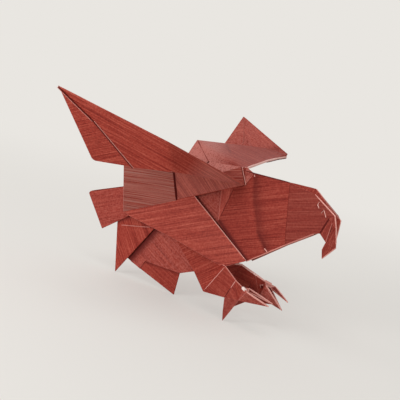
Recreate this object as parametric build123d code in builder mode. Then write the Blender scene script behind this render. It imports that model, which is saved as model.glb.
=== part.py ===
from math import atan2, degrees
import os

from build123d import *

# An eagle with its wings raised and its feet forward, folded from one square sheet.
# Forward is +X, the bird's left side is +Y and up is +Z, measured from the ridge of
# its shoulders. The finished bird is tipped nose up, until it stands on the two
# lowest tail points and the two back claws, and its origin is put under its middle.

# Driving dimensions in millimetres
leaf_thickness = 0.7      # seven plies of tenth-millimetre paper pressed into one leaf
wing_thickness = 0.5      # the wings are the thinnest leaves, five plies
pocket_thickness = 1.1    # wing leaf doubled by the pocket tucked into it
crease_width = 0.9        # across the rounded edge of a sharp fold
rib_width = 1.2           # across the rolled edge along a toe
eye_fold_width = 0.6      # across a small fold that marks the eye
tail_corner_radius = 1.5  # the thick end of the tail is blunt
wing_corner_radius = 3.0  # and so is the rear corner of a wing

head_reach = 68.4         # shoulder ridge forward to the brow of the beak
head_half_width = 3.0     # middle of the head out to its cheek
beak_drop = 57.8          # shoulder ridge down to the tip of the beak
chest_depth = 60.5        # shoulder ridge down to the keel of the chest
chest_half_width = 4.5    # middle of the bird out to the side corner of the chest
covert_half_width = 7.0   # middle of the bird out to the flap behind the wing
left_covert_lift = 3.0    # the left flap is folded a little higher than the right one

back_length = 132.9       # shoulder ridge back to the end of the tail
back_drop = 13.2          # shoulder ridge down to the end of the tail
tail_depth = 87.1         # shoulder ridge down to the lowest tail point

wing_sweep = 73.0         # shoulder ridge back to the rearmost corner of a wing
wing_half_span = 121.6    # middle of the bird out to a wing tip
wing_rise = 48.9          # shoulder ridge up to a wing tip
root_half_width = 2.0     # middle of the bird out to the root of a wing's front edge
right_root_drop = 9.5     # the right wing is rooted low, beside the chest
left_root_rise = 2.1      # and the left one has ridden up over the ridge
left_elbow_lift = 11.4    # which lifts the rear edge of its under sheet as well
left_lip_drop = 1.9       # its front edge is turned down into a lip toward the wrist
pocket_lift = 3.0         # bulge of the upper sheet over the mouth of its pocket

leg_drop = 86.5           # shoulder ridge down to the soles
foot_half_gap = 15.4      # middle of the bird out to each foot
toe_length = 22.0         # knuckle to the tip of a front toe
claw_length = 15.7        # ankle to the tip of a back claw

# How far each hanging leaf leans to the right, as a share of how far it hangs down
tail_lean_share = 0.12
second_lean_share = 0.09
belly_lean_share = 0.05
under_lean_share = 0.04

# Head: forward, out and down as shares of head_reach, head_half_width and beak_drop
forehead_share = (0.755, 0, 0.221)
brow_share = (1, 0, 0.574)
bridge_share = (0.955, 0, 0.775)
hook_share = (0.949, 0, 0.88)
beak_tip_share = (0.81, 0, 1)
lip_share = (0.817, 0.33, 0.9)
gape_share = (0.861, 0.6, 0.815)
cheek_edge_share = (0.97, 0.75, 0.66)
neck_top_share = (0.478, 0, 0.144)
collar_top_share = (0.088, 0, 0.029)
collar_low_share = (0.243, 0.87, 0.95)
throat_share = (0.748, 0.85, 0.716)
neck_low_share = (0.439, 0.853)
mouth_low_share = (0.807, 0.716)
mouth_top_share = (0.898, 0.55)
eye_edge_share = (0.959, 0.52)
eye_top_share = (0.751, 0.28)
eye_fold_shares = (((0.797, 0.359), (0.78, 0.399), (0.795, 0.433)),
                   ((0.821, 0.487), (0.845, 0.453), (0.869, 0.538)))

# Chest and covert: back and down as shares of back_length and chest_depth
chest_corner_share = (0.142, 0.564)
chest_keel_share = (-0.018, 1.005)
chest_top_share = (0.061, 0.19)
covert_rear_share = (0.723, 0.453)
covert_front_share = (-0.021, 1.003)
covert_front_out_share = 0.8
covert_low_shares = ((0.106, 1.081), (0.373, 0.805), (0.525, 0.658), (0.682, 0.516))
sliver_root_share = 0.18
covert_root_share = 0.403
pocket_root_share = 0.551
pocket_top_share = 0.6

# Back and tail: back and down as shares of back_length and tail_depth
saddle_share = 0.759
ridge_end_share = 0.975
tail_shares = ((0.887, 0.466), (0.712, 0.359), (0.577, 0.277))
tail_root_share = 0.45
second_shares = ((0.788, 0.412), (0.787, 0.824), (0.544, 0.458))
second_root_shares = (0.8, 0.33)
belly_shares = ((0.719, 0.71), (0.636, 0.795), (0.605, 0.73), (0.382, 0.817),
                (0.337, 0.806), (0.282, 0.795), (0, 0.647))
belly_root_shares = (0.62, 0.02)
under_rear_share = (0.7, 0.736)
under_tip_share = 0.42
under_front_share = (0.385, 0.818)
under_root_shares = (0.58, 0.35)

# Wing: back, out and up as shares of wing_sweep, wing_half_span and wing_rise
tip_share = (0.884, 1, 1)
trailing_share = (0.995, 0.628, 0.119)
wrist_share = (0.122, 0.708, 0.313)
upper_rear_share = (0.912, 0.403, 0.528)
pocket_rear_share = (0.989, 0.334, 0.142)
upper_edge_shares = ((0.278, 0.728), (0.412, 0.705), (0.701, 0.53))
elbow_share = (0.24, 0.559)
pleat_share = (0.612, 0.587)
pleat_bow_share = (0.736, 0.831)
lower_edge_shares = ((0.17, 0.413), (0.081, 0.192))
lip_shares = ((0.46, -0.08), (0.75, 0.35), (0.97, 1))
flap_top_share = (0.038, 0.017, 0.055)
flap_rear_share = (0.196, 0.058, -0.012)

# Leg: back, out and down as shares of back_length, foot_half_gap and leg_drop
thigh_rear_share = (0.418, 0.532)
thigh_front_share = (0.168, 0.71)
thigh_back_share = (0.27, 0.798)
heel_share = (0.198, 0.818, 0.949)
ankle_low_share = (0.062, 0.983)
outer_root_share = (-0.087, 1.403, 0.924)
toe_fork_share = (-0.078, 1.104, 0.928)
inner_root_share = (-0.067, 0.844, 0.908)
sole_share = (-0.017, 1, 1)
right_knee_share = (0.088, 0.503, 0.75)
left_knee_share = (0.056, 0.5, 0.744)
right_ankle_top_share = (0.011, 0.78, 0.853)
left_ankle_top_share = (-0.008, 0.779, 0.821)
right_knuckle_share = (-0.046, 1.058, 0.902)
left_knuckle_share = (-0.048, 1.058, 0.878)

# Toes from their roots and claws from the ankle: forward, out and down
outer_toe_share = (0.568, -0.305, 0.432)
right_inner_toe_share = (0.643, -0.282, 0.459)
left_inner_toe_share = (0.64, -0.237, 0.713)
right_toe_side_share = 1
left_toe_side_share = 0.25
claw_share = (-0.108, 0, 0.994)
left_claw_back_share = 0.943
claw_heel_share = (0.35, 0.6)


def place(shares, forward, out, down):
    """A place that lies shares of three sizes ahead of, beside and below the ridge."""
    ahead, aside, below = shares
    return Vector(ahead * forward, aside * out, -below * down)


def on_back(share):
    """A place on the straight ridge of the back, a share of the way to the tail end."""
    return Vector(-share * back_length, 0, -share * back_drop)


def hung(share, lean_share):
    """A place on a leaf that hangs from the back and leans to the right."""
    back, down = share
    depth = down * tail_depth - back * back_drop
    return Vector(-back * back_length, -lean_share * depth, -down * tail_depth)


def leaf_plane(corners):
    """The plane of a leaf, through its first three corners."""
    first, second, third = corners[:3]
    return Plane(origin=first, x_dir=second - first,
                 z_dir=(second - first).cross(third - first))


def beside(plane, forward, up):
    """The place on a plane that lies straight out from a place in the side view."""
    start = Vector(forward, 0, up)
    reach = (plane.origin - start).dot(plane.z_dir) / plane.z_dir.Y
    return start + Vector(0, reach, 0)


def above(plane, forward, out):
    """The place on a plane that lies straight over a place in the top view."""
    start = Vector(forward, out, 0)
    lift = (plane.origin - start).dot(plane.z_dir) / plane.z_dir.Z
    return start + Vector(0, 0, lift)


def leaf(*corners, thickness=leaf_thickness, blunt=None, radius=0):
    """A flat leaf of pressed plies with the given corners, one of them perhaps blunt."""
    plane = leaf_plane(corners)
    places = [plane.to_local_coords(corner) for corner in corners]
    with BuildPart() as sheet:
        with BuildSketch(plane) as outline:
            with BuildLine():
                Polyline(*places, close=True)
            make_face()
            if blunt is not None:
                fillet(outline.vertices().sort_by_distance(places[blunt])[0], radius)
        extrude(amount=thickness / 2, both=True)
    return sheet.part


def crease(*stops, width=crease_width):
    """The rounded edge of a fold that runs from stop to stop."""
    with BuildPart() as edge:
        for start, end in zip(stops, stops[1:]):
            with BuildSketch(Plane(origin=start, z_dir=end - start)):
                RegularPolygon(radius=width / 2, side_count=6)
            extrude(amount=(end - start).length)
    return edge.part


def head_half():
    """Neck, head and hooked beak of one side, creased twice across the neck."""
    sizes = (head_reach, head_half_width, beak_drop)
    forehead = place(forehead_share, *sizes)
    brow = place(brow_share, *sizes)
    bridge = place(bridge_share, *sizes)
    hook = place(hook_share, *sizes)
    tip = place(beak_tip_share, *sizes)
    lip = place(lip_share, *sizes)
    gape = place(gape_share, *sizes)
    cheek_edge = place(cheek_edge_share, *sizes)
    neck_top = place(neck_top_share, *sizes)
    collar_top = place(collar_top_share, *sizes)
    collar_low = place(collar_low_share, *sizes)
    throat = place(throat_share, *sizes)

    def on_side(plane, share, raised=0):
        flat = beside(plane, share[0] * head_reach, -share[1] * beak_drop)
        return flat + Vector(0, raised, 0)

    neck_low = on_side(leaf_plane((collar_top, collar_low, neck_top)), neck_low_share)
    side = leaf_plane((neck_top, neck_low, throat))
    mouth_low = on_side(side, mouth_low_share)
    mouth_top = on_side(side, mouth_top_share)
    eye_edge = on_side(side, eye_edge_share)
    eye_top = on_side(side, eye_top_share)

    with BuildPart() as head:
        add(leaf(collar_top, collar_low, neck_low, neck_top))
        add(leaf(neck_top, neck_low, throat, mouth_low, mouth_top, eye_edge, eye_top))
        add(leaf(neck_top, eye_top, forehead))
        add(leaf(forehead, eye_top, eye_edge))
        add(leaf(forehead, eye_edge, brow))
        add(leaf(brow, eye_edge, cheek_edge))
        add(leaf(brow, cheek_edge, bridge))
        add(leaf(mouth_top, eye_edge, cheek_edge))
        add(leaf(mouth_top, cheek_edge, bridge))
        add(leaf(mouth_top, bridge, gape))
        add(leaf(mouth_top, gape, mouth_low))
        add(leaf(gape, bridge, hook))
        add(leaf(gape, hook, tip))
        add(leaf(gape, tip, lip))
        add(crease(eye_top, eye_edge, cheek_edge, bridge))
        for shares in eye_fold_shares:
            stops = [on_side(side, share, leaf_thickness / 2) for share in shares]
            add(crease(*stops, width=eye_fold_width))
        add(crease(mouth_low, mouth_top, gape))
        add(crease(collar_top, collar_low))
        add(crease(neck_top, neck_low))
        add(crease(collar_top, neck_top, forehead, brow, bridge, hook, tip))
    return head.part


def chest_half(root, collar_top, collar_low, wing_line):
    """Chest flap of one side, with the sliver folded back along its rear edge."""
    back, down = chest_corner_share
    corner = Vector(-back * back_length, chest_half_width, -down * chest_depth)
    front = leaf_plane((collar_top, collar_low, corner))
    keel = beside(front, -chest_keel_share[0] * back_length, -chest_keel_share[1] * chest_depth)
    top = beside(front, -chest_top_share[0] * back_length, -chest_top_share[1] * chest_depth)
    sliver_root = wing_line(sliver_root_share)
    shoulder = Vector(0, 0, 0)
    with BuildPart() as chest:
        add(leaf(collar_top, collar_low, keel, corner, top))
        add(leaf(collar_top, top, root))
        add(leaf(collar_top, root, shoulder))
        add(leaf(top, corner, sliver_root))
        add(leaf(root, top, sliver_root))
        add(crease(keel, corner, top, root))
        add(crease(shoulder, collar_top))
    return chest.part


def back_half(root, covert_rear):
    """The sloping side of the back, from the ridge down to the root of the wing."""
    shoulder = on_back(0)
    with BuildPart() as back:
        add(leaf(shoulder, on_back(saddle_share), covert_rear))
        add(leaf(shoulder, covert_rear, root))
    return back.part


def ground_height(forward):
    """Height of the ground under the bird, between its tail point and its right claw."""
    tail_point = hung(second_shares[1], second_lean_share)
    claw_tip = right_leg()["claw_tip"]
    slope = (claw_tip.Z - tail_point.Z) / (claw_tip.X - tail_point.X)
    return tail_point.Z + slope * (forward - tail_point.X)


def tail_leaves():
    """Tail and belly: leaves that hang from the ridge of the back like pages."""
    under_tip = -ground_height(-under_tip_share * back_length) / tail_depth
    under_shares = (under_rear_share, (under_tip_share, under_tip), under_front_share)
    with BuildPart() as tail:
        add(leaf(on_back(tail_root_share), on_back(1),
                 *[hung(share, tail_lean_share) for share in tail_shares],
                 blunt=1, radius=tail_corner_radius))
        for roots, shares, lean_share in (
                (second_root_shares, second_shares, second_lean_share),
                (belly_root_shares, belly_shares, belly_lean_share),
                (under_root_shares, under_shares, under_lean_share)):
            add(leaf(on_back(roots[1]), on_back(roots[0]),
                     *[hung(share, lean_share) for share in shares]))
        add(crease(on_back(0), on_back(ridge_end_share)))
    return tail.part


def covert_half(wing_line, covert_rear, lift):
    """Flap that hangs outside the body from the line where the wing is folded up."""
    root = wing_line(covert_root_share)
    front = Vector(-covert_front_share[0] * back_length,
                   covert_front_out_share * covert_half_width,
                   lift - covert_front_share[1] * chest_depth)
    flat = leaf_plane((covert_rear, root, front))
    low_edge = [beside(flat, -back * back_length, lift - down * chest_depth)
                for back, down in covert_low_shares]
    with BuildPart() as covert:
        add(leaf(covert_rear, root, front, *low_edge))
        add(crease(root, front))
    return covert.part


def wing_half(root, wing_line, covert_rear, elbow_lift, lip_drop):
    """One wing: an under sheet with a pleated hand, and an upper sheet over it."""

    def on_wing(share):
        back, out, up = share
        return Vector(-back * wing_sweep, out * wing_half_span, up * wing_rise)

    def over(plane, share):
        return above(plane, -share[0] * wing_sweep, share[1] * wing_half_span)

    tip = on_wing(tip_share)
    trailing = on_wing(trailing_share)
    wrist = on_wing(wrist_share)
    upper_rear = on_wing(upper_rear_share)
    pocket_rear = on_wing(pocket_rear_share)
    hand = leaf_plane((tip, trailing, wrist))
    pleat = over(hand, pleat_share)
    pleat_bow = over(hand, pleat_bow_share)
    elbow = over(hand, elbow_share) + Vector(0, 0, elbow_lift)
    arm = leaf_plane((root, wrist, elbow))
    lower_edge = [over(arm, share) for share in lower_edge_shares]
    upper = leaf_plane((root, wrist, upper_rear))
    upper_edge = [over(upper, share) for share in upper_edge_shares]
    pocket_root = wing_line(pocket_root_share)
    pocket_top = root + (pocket_rear - root) * pocket_top_share + Vector(0, 0, pocket_lift)
    pocket = leaf_plane((pocket_root, covert_rear, pocket_top))
    pocket_rear = over(pocket, pocket_rear_share)
    lip = [root + (wrist - root) * along - Vector(0, 0, down * lip_drop)
           for along, down in lip_shares]
    with BuildPart() as wing:
        add(leaf(tip, trailing, pleat, pleat_bow, thickness=wing_thickness,
                 blunt=1, radius=wing_corner_radius))
        add(leaf(wrist, tip, pleat_bow, pleat, thickness=wing_thickness))
        add(leaf(wrist, pleat, elbow, thickness=wing_thickness))
        add(leaf(root, wrist, elbow, *lower_edge, thickness=wing_thickness))
        add(leaf(root, wrist, *upper_edge, upper_rear, thickness=wing_thickness))
        add(leaf(root, upper_rear, pocket_top, thickness=wing_thickness))
        add(leaf(upper_rear, pocket_rear, pocket_top, thickness=wing_thickness))
        add(leaf(root, pocket_top, pocket_root, thickness=wing_thickness))
        add(leaf(pocket_top, pocket_root, covert_rear, pocket_rear, thickness=pocket_thickness))
        add(leaf(root, on_wing(flap_top_share), on_wing(flap_rear_share)))
        if lip_drop:
            add(leaf(*lip, wrist, thickness=wing_thickness))
            add(crease(*lip))
        add(crease(root, wrist, tip, pleat_bow, pleat))
        add(crease(root, covert_rear))
        add(crease(root, upper_rear, pocket_rear, covert_rear))
        add(crease(root, pocket_top, upper_rear, width=leaf_thickness))
        add(crease(pocket_root, pocket_top, pocket_rear, width=pocket_thickness))
        add(crease(root, on_wing(flap_top_share)))
    return wing.part


def leg_places(lean_share, knee_share, ankle_top_share, knuckle_share, inner_toe_share):
    """Named places of one leg, whose thigh is rooted on the leaning belly."""

    def on_leg(share):
        back, out, down = share
        return Vector(-back * back_length, out * foot_half_gap, -down * leg_drop)

    def on_leaf(plane, share):
        return beside(plane, -share[0] * back_length, -share[1] * leg_drop)

    def on_belly(share):
        return hung((share[0], share[1] * leg_drop / tail_depth), lean_share)

    leg = {"thigh_rear": on_belly(thigh_rear_share), "thigh_front": on_belly(thigh_front_share),
           "heel": on_leg(heel_share), "knee": on_leg(knee_share),
           "ankle_top": on_leg(ankle_top_share), "knuckle": on_leg(knuckle_share),
           "outer_root": on_leg(outer_root_share), "toe_fork": on_leg(toe_fork_share),
           "inner_root": on_leg(inner_root_share), "sole": on_leg(sole_share)}
    thigh = leaf_plane((leg["thigh_rear"], leg["thigh_front"], leg["heel"]))
    leg["thigh_back"] = on_leaf(thigh, thigh_back_share)
    shank = leaf_plane((leg["heel"], leg["knee"], leg["ankle_top"]))
    leg["ankle_low"] = on_leaf(shank, ankle_low_share)
    leg["outer_tip"] = leg["outer_root"] + place(outer_toe_share, toe_length, toe_length, toe_length)
    leg["inner_tip"] = leg["inner_root"] + place(inner_toe_share, toe_length, toe_length, toe_length)
    leg["claw_tip"] = leg["ankle_low"] + place(claw_share, claw_length, claw_length, claw_length)
    return leg


def right_leg():
    """The right leg, as seen in a mirror; the side of its outer toe reaches the sole."""
    leg = leg_places(-belly_lean_share, right_knee_share, right_ankle_top_share,
                     right_knuckle_share, right_inner_toe_share)
    leg["toe_side"] = leg["outer_root"] + (leg["sole"] - leg["outer_root"]) * right_toe_side_share
    return leg


def leg_half(leg):
    """Thigh, shank and foot of one side, with two front toes and a back claw.

    The front toes are narrow troughs, rooted on the two ends of a bar across the foot.
    """
    claw = leaf_plane((leg["ankle_low"], leg["sole"], leg["claw_tip"]))
    heel_out, heel_down = claw_heel_share
    claw_heel = leg["ankle_low"] + (leg["claw_tip"] - leg["ankle_low"]) * heel_down
    claw_heel = beside(claw, claw_heel.X - heel_out * crease_width, claw_heel.Z)
    with BuildPart() as limb:
        add(leaf(leg["thigh_rear"], leg["thigh_front"], leg["heel"], leg["thigh_back"]))
        add(leaf(leg["thigh_front"], leg["knee"], leg["heel"]))
        add(leaf(leg["heel"], leg["knee"], leg["ankle_top"], leg["ankle_low"]))
        add(leaf(leg["ankle_top"], leg["ankle_low"], leg["sole"]))
        add(leaf(leg["ankle_top"], leg["sole"], leg["knuckle"]))
        add(leaf(leg["knuckle"], leg["sole"], leg["outer_root"]))
        add(leaf(leg["knuckle"], leg["sole"], leg["inner_root"]))
        add(leaf(leg["knuckle"], leg["toe_fork"], leg["outer_root"]))
        add(leaf(leg["knuckle"], leg["toe_fork"], leg["inner_root"]))
        add(leaf(leg["toe_fork"], leg["outer_root"], leg["outer_tip"]))
        add(leaf(leg["toe_side"], leg["outer_root"], leg["outer_tip"]))
        add(leaf(leg["toe_fork"], leg["sole"], leg["inner_tip"]))
        add(leaf(leg["inner_root"], leg["sole"], leg["inner_tip"]))
        add(leaf(leg["ankle_low"], leg["sole"], leg["claw_tip"], claw_heel))
        add(crease(leg["heel"], leg["knee"], leg["ankle_top"], leg["ankle_low"]))
        add(crease(leg["ankle_top"], leg["knuckle"], leg["outer_root"]))
        add(crease(leg["inner_root"], leg["toe_fork"], leg["outer_root"]))
        add(crease(leg["toe_fork"], leg["inner_tip"]))
        add(crease(leg["outer_root"], leg["outer_tip"], width=rib_width))
        add(crease(leg["inner_root"], leg["inner_tip"], width=rib_width))
    return limb.part


def left_leg():
    """The left leg: its claw reaches back, down to the same ground as the right one."""
    leg = leg_places(belly_lean_share, left_knee_share, left_ankle_top_share,
                     left_knuckle_share, left_inner_toe_share)
    leg["toe_side"] = leg["outer_root"] + (leg["sole"] - leg["outer_root"]) * left_toe_side_share
    ahead = leg["ankle_low"].X - left_claw_back_share * claw_length
    leg["claw_tip"] = Vector(ahead, leg["ankle_low"].Y, ground_height(ahead))
    return leg


def half_bird(root_up, elbow_lift, lip_drop, covert_lift, leg):
    """All leaves of one side, for a wing rooted at the given height."""
    sizes = (head_reach, head_half_width, beak_drop)
    collar_top = place(collar_top_share, *sizes)
    collar_low = place(collar_low_share, *sizes)
    root = Vector(0, root_half_width, root_up)
    covert_rear = Vector(-covert_rear_share[0] * back_length, covert_half_width,
                         -covert_rear_share[1] * chest_depth)

    def wing_line(share):
        return root + (covert_rear - root) * share

    with BuildPart() as half:
        add(head_half())
        add(chest_half(root, collar_top, collar_low, wing_line))
        add(back_half(root, covert_rear))
        add(covert_half(wing_line, covert_rear, covert_lift))
        add(wing_half(root, wing_line, covert_rear, elbow_lift, lip_drop))
        add(leg_half(leg))
    return half.part


with BuildPart() as flying_bird:
    add(tail_leaves())
    add(half_bird(left_root_rise, left_elbow_lift, left_lip_drop, left_covert_lift, left_leg()))
    add(half_bird(-right_root_drop, 0, 0, 0, right_leg()).mirror(Plane.XZ))

pitch = degrees(atan2(ground_height(1) - ground_height(0), 1))
standing = flying_bird.part.rotate(Axis.Y, pitch)
footprint = standing.bounding_box()
middle = Vector(footprint.center().X, footprint.center().Y, footprint.min.Z)

with BuildPart() as folded_eagle:
    add(standing.moved(Location(-middle)))

folded_eagle.part.label = "folded_eagle"
os.makedirs("parts", exist_ok=True)
export_step(folded_eagle.part, "parts/folded_eagle.step")
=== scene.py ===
import math

import bmesh
import bpy
from bpy.props import FloatProperty, PointerProperty, StringProperty
from mathutils import Matrix, Vector, noise
from mathutils.geometry import tessellate_polygon


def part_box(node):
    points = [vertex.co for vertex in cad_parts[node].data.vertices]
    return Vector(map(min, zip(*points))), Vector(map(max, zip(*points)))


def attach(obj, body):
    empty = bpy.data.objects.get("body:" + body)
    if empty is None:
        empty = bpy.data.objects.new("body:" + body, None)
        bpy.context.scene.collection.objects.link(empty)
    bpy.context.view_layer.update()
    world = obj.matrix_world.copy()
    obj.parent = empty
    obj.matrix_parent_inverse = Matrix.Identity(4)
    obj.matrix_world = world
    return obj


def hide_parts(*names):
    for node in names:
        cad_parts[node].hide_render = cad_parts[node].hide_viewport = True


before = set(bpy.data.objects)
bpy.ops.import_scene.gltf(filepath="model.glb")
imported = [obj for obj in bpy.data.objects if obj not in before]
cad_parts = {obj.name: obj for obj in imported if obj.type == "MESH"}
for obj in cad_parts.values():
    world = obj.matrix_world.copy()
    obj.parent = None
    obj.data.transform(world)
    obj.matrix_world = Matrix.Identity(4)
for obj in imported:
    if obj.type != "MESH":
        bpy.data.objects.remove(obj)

bl_info = {
    "name": "Origami Eagle",
    "version": (1, 0, 0),
    "blender": (4, 5, 0),
    "location": "View3D > Sidebar > Eagle",
    "description": "Folds an eagle from leaves of wood-grain printed paper and lights it",
    "category": "Object",
}

CAD_LOW, CAD_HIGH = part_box("folded_eagle")
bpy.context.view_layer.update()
NODE = "folded_eagle"


# ---------------- sizes and colours

def length(name, description, millimetres):
    """A length that the user can change, given here in millimetres."""
    return FloatProperty(name=name, description=description, default=millimetres / 1000,
                         unit="LENGTH", precision=4)


def colour(name, description, text):
    """A colour that the user can change, written as an sRGB hex value."""
    return StringProperty(name=name, description=description, default=text)


class EaglePaper(bpy.types.PropertyGroup):
    """The sheet: how thick its leaves are, and how it is printed."""
    leaf: length("Leaf", "Thickness of a leaf of about seven pressed plies", 0.62)
    wing_leaf: length("Wing leaf", "Thickness of a leaf of a wing", 0.45)
    pocket_leaf: length("Pocket leaf", "Thickness of the leaf that lines a wing pocket", 1.0)
    fold: length("Fold", "Width across the rounded edge of a fold", 0.8)
    mesh_step: length("Mesh step", "Longest edge of the mesh of a leaf", 2.2)
    red_dark: colour("Dark grain", "Darkest line of the printed grain", "#76231B")
    red_mid: colour("Printed red", "Main colour of the print", "#9C3A2E")
    red_light: colour("Light grain", "Palest line of the printed grain", "#BD5D4C")
    greyed: colour("Greyed print", "Inner sheet where the print is greyer", "#A8746A")
    # pale mixes in paler, speckled print, and in places stands for painted light: a painted
    # highlight at the top of the chest, and light on faces the lamps leave too dark
    pale: colour("Pale print", "Faces where the print is thin and pinkish", "#BE7268")
    # this colour is partly wear along the folds and partly painted highlight on edges that face
    # the light
    worn: colour("Worn fold", "Paper worn pale along a fold", "#E6A79C")
    # this colour is painted shade: in creases, slots and gaps, under the edges of leaves, and over
    # leaves that should look darker
    painted_shade: colour("Deep crease", "Unworn print down inside a crease", "#561512")
    # this colour is a near-white painted highlight: the glint on the knuckles, the lip and the
    # brightest edges
    painted_highlight: colour("Bare paper", "Paper rubbed bare on a knuckle", "#F8E9E4")


class EagleStance(bpy.types.PropertyGroup):
    """How the bird stands. Its shoulder ridge is what all places are measured from."""
    nose_up: FloatProperty(name="Nose up", description="Tilt of the standing bird",
                           default=math.radians(16.9587), subtype="ANGLE")
    shoulder_ahead: length("Shoulder ahead", "Ridge ahead of the middle", 22.38)
    shoulder_height: length("Shoulder height", "Ridge above the ground", 99.19)


class EagleBody(bpy.types.PropertyGroup):
    """Head, chest, coverts, back and tail."""
    head_reach: length("Head reach", "Ridge forward to the brow of the beak", 68.4)
    head_half_width: length("Head half width", "Middle out to a cheek", 3.0)
    beak_drop: length("Beak drop", "Ridge down to the tip of the beak", 57.8)
    chest_depth: length("Chest depth", "Ridge down to the keel of the chest", 60.5)
    chest_half_width: length("Chest half width", "Middle out to the side corner of the chest", 4.5)
    covert_half_width: length("Covert half width", "Middle out to the flap behind the wing", 7.0)
    left_covert_lift: length("Left covert lift", "How much higher the left flap is folded", 3.0)
    back_length: length("Back length", "Ridge back to the end of the tail", 132.9)
    back_drop: length("Back drop", "Ridge down to the end of the tail", 13.2)
    tail_depth: length("Tail depth", "Ridge down to the lowest tail point", 87.1)


class EagleWings(bpy.types.PropertyGroup):
    """Both wings."""
    sweep: length("Sweep", "Ridge back to the rearmost corner of a wing", 73.0)
    half_span: length("Half span", "Middle out to a wing tip", 121.6)
    rise: length("Rise", "Ridge up to a wing tip", 48.9)
    root_half_width: length("Root half width", "Middle out to the root of a front edge", 2.0)
    right_root_drop: length("Right root drop", "The right wing is rooted below the ridge", 9.5)
    left_root_rise: length("Left root rise", "The left wing is rooted above the ridge", 2.1)
    left_elbow_lift: length("Left elbow lift", "Rear edge of the left under sheet lifted", 11.4)
    left_lip_drop: length("Left lip drop", "Lip turned down from the left front edge", 1.9)
    pocket_lift: length("Pocket lift", "Bulge of the upper sheet over its pocket", 3.0)
    corner_radius: length("Corner radius", "Blunt rear corner of a wing", 3.0)


class EagleLegs(bpy.types.PropertyGroup):
    """Both legs."""
    drop: length("Drop", "Ridge down to the soles", 86.5)
    foot_half_gap: length("Foot half gap", "Middle out to each foot", 15.4)
    toe: length("Toe", "Knuckle to the tip of a front toe", 22.0)
    claw: length("Claw", "Ankle to the tip of a back claw", 15.7)


class EagleStage(bpy.types.PropertyGroup):
    """Floor, lamps and camera."""
    floor: colour("Floor", "Pale floor and backdrop", "#E9E6E1")
    camera_distance: length("Camera distance", "Camera to the middle of the bird", 653.0)
    camera_side: FloatProperty(name="Camera side", description="Camera's angle round the bird",
                               default=math.radians(30), subtype="ANGLE")
    view_width: length("View width", "Width that the picture takes in at the bird", 280.0)
    key_watts: FloatProperty(name="Key lamp", description="Power of the key lamp", default=3.55,
                             unit="POWER")
    world_strength: FloatProperty(name="Sky", description="Strength of the even light",
                                  default=0.5)


# ---------------- places on the bird

BIRD_MIDDLE = Vector((-0.0362, 0, -0.0197))  # metres from the ridge: the camera looks at it
TAIL_CORNER = 0.0015  # metres: radius of the blunt end of the tail
HEAD = {  # forward, out and down as shares of head reach, head half width and beak drop
    "forehead": (0.755, 0, 0.221), "brow": (1, 0, 0.574), "bridge": (0.955, 0, 0.775),
    "hook": (0.949, 0, 0.88), "beak_tip": (0.81, 0, 1), "lip": (0.817, 0.33, 0.9),
    "gape": (0.861, 0.6, 0.815), "cheek_edge": (0.97, 0.75, 0.66),
    "neck_top": (0.478, 0, 0.144), "collar_top": (0.088, 0, 0.029),
    "collar_low": (0.243, 0.87, 0.95), "throat": (0.748, 0.85, 0.716),
}
NECK_LOW = (0.439, 0.853)  # forward and down
HEAD_SIDE = {  # forward and down, all on the side of the head
    "mouth_low": (0.807, 0.716), "mouth_top": (0.898, 0.55),
    "eye_edge": (0.959, 0.52), "eye_top": (0.751, 0.28),
}
EYE_FOLDS = (((0.797, 0.359), (0.78, 0.399), (0.795, 0.433)),
             ((0.821, 0.487), (0.845, 0.453), (0.869, 0.538)))
CHEST = {  # back and down as shares of back length and chest depth
    "corner": (0.142, 0.564), "keel": (-0.018, 1.005), "top": (0.061, 0.19),
}
SADDLE, RIDGE_END = 0.759, 0.975  # back: where the coverts end, and the fold of the ridge
COVERT_REAR, COVERT_FRONT = (0.723, 0.453), (-0.021, 1.003)  # back and down, as in COVERT_LOW
COVERT_FRONT_OUT = 0.8  # of covert half width
COVERT_LOW = ((0.106, 1.081), (0.373, 0.805), (0.525, 0.658), (0.682, 0.516))
WING_LINE = {"sliver": 0.18, "covert": 0.403, "pocket": 0.551}  # roots from root to covert rear
TAIL = {  # lean, roots on the back, and corners back and down on the hanging leaf
    "tail": (0.12, (0.45, 1), ((0.887, 0.466), (0.712, 0.359), (0.577, 0.277))),
    "second": (0.09, (0.33, 0.8), ((0.788, 0.412), (0.787, 0.824), (0.544, 0.458))),
    "belly": (0.05, (0.02, 0.62), ((0.719, 0.71), (0.636, 0.795), (0.605, 0.73),
                                   (0.382, 0.817), (0.337, 0.806), (0.282, 0.795),
                                   (0, 0.647))),
    "under": (0.04, (0.35, 0.58), ((0.7, 0.736), (0.42, 0.994), (0.385, 0.818))),
}
WING = {  # back, out and up as shares of sweep, half span and rise
    "tip": (0.884, 1, 1), "trailing": (0.995, 0.628, 0.119), "wrist": (0.122, 0.708, 0.313),
    "upper_rear": (0.912, 0.403, 0.528), "pocket_rear": (0.989, 0.334, 0.142),
    "flap_top": (0.038, 0.017, 0.055), "flap_rear": (0.196, 0.058, -0.012),
}
HAND = {  # back and out, all on the outer part of a wing, as the next two lie on its sheets
    "pleat": (0.612, 0.587), "pleat_bow": (0.736, 0.831), "elbow": (0.24, 0.559),
}
UPPER_EDGE = ((0.278, 0.728), (0.412, 0.705), (0.701, 0.53))
LOWER_EDGE = ((0.17, 0.413), (0.081, 0.192))
POCKET_TOP = 0.6  # of the way from root to pocket rear
LIP = ((0.46, -0.08), (0.75, 0.35), (0.97, 1))  # along the front edge, and of the lip's drop
LEG = {  # back, out and down as shares of back length, foot half gap and leg drop
    "heel": (0.198, 0.818, 0.949), "outer_root": (-0.087, 1.403, 0.924),
    "toe_fork": (-0.078, 1.104, 0.928), "inner_root": (-0.067, 0.844, 0.908),
    "sole": (-0.017, 1, 1),
}
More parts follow.
